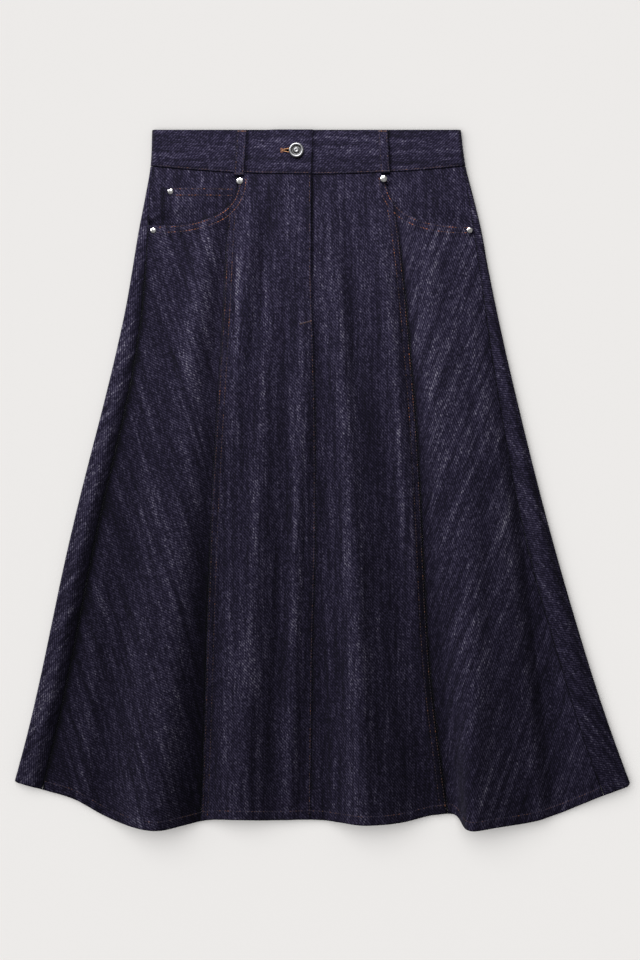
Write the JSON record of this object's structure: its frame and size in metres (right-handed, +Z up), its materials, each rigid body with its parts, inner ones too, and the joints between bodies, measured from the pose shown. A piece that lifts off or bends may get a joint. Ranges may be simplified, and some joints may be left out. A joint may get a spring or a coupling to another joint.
{
  "type": "flared denim skirt",
  "caption": "Flared denim skirt laid flat with its front up: gored panels, waistband with belt loops, buttoned fly, scoop pockets with a coin pocket, and rivets.",
  "frame": {"origin": "centre of the bounding box in X and Y, on the surface that the skirt lies on", "axes": "+Z up out of the skirt's front, +Y along the skirt towards the waist, +X to the right as seen from above with the waist away"},
  "size_m": [0.6757, 0.7673, 0.0326],
  "materials": {
    "denim": "dark indigo denim twill, lightly slubbed, matt",
    "metal": "silver-coloured metal, satin to polished",
    "thread": "rust and brown sewing thread, dark in places"
  },
  "bodies": {
    "root": {"front_centre_left": "denim", "front_centre_right": "denim", "front_side_left": "denim", "front_side_right": "denim", "back_side_left": "denim", "back_side_right": "denim", "back_centre": "denim", "waistband_front_left": "denim", "waistband_front_right": "denim", "waistband_back": "denim", "belt_loop_left": "denim", "belt_loop_right": "denim", "pocket_facing_left": "denim", "pocket_facing_right": "denim", "coin_pocket": "denim", "button": "metal", "rivet_left_top": "metal", "rivet_left_side": "metal", "rivet_coin_pocket": "metal", "rivet_right_top": "metal", "rivet_right_side": "metal"}
  },
  "joints": []
}
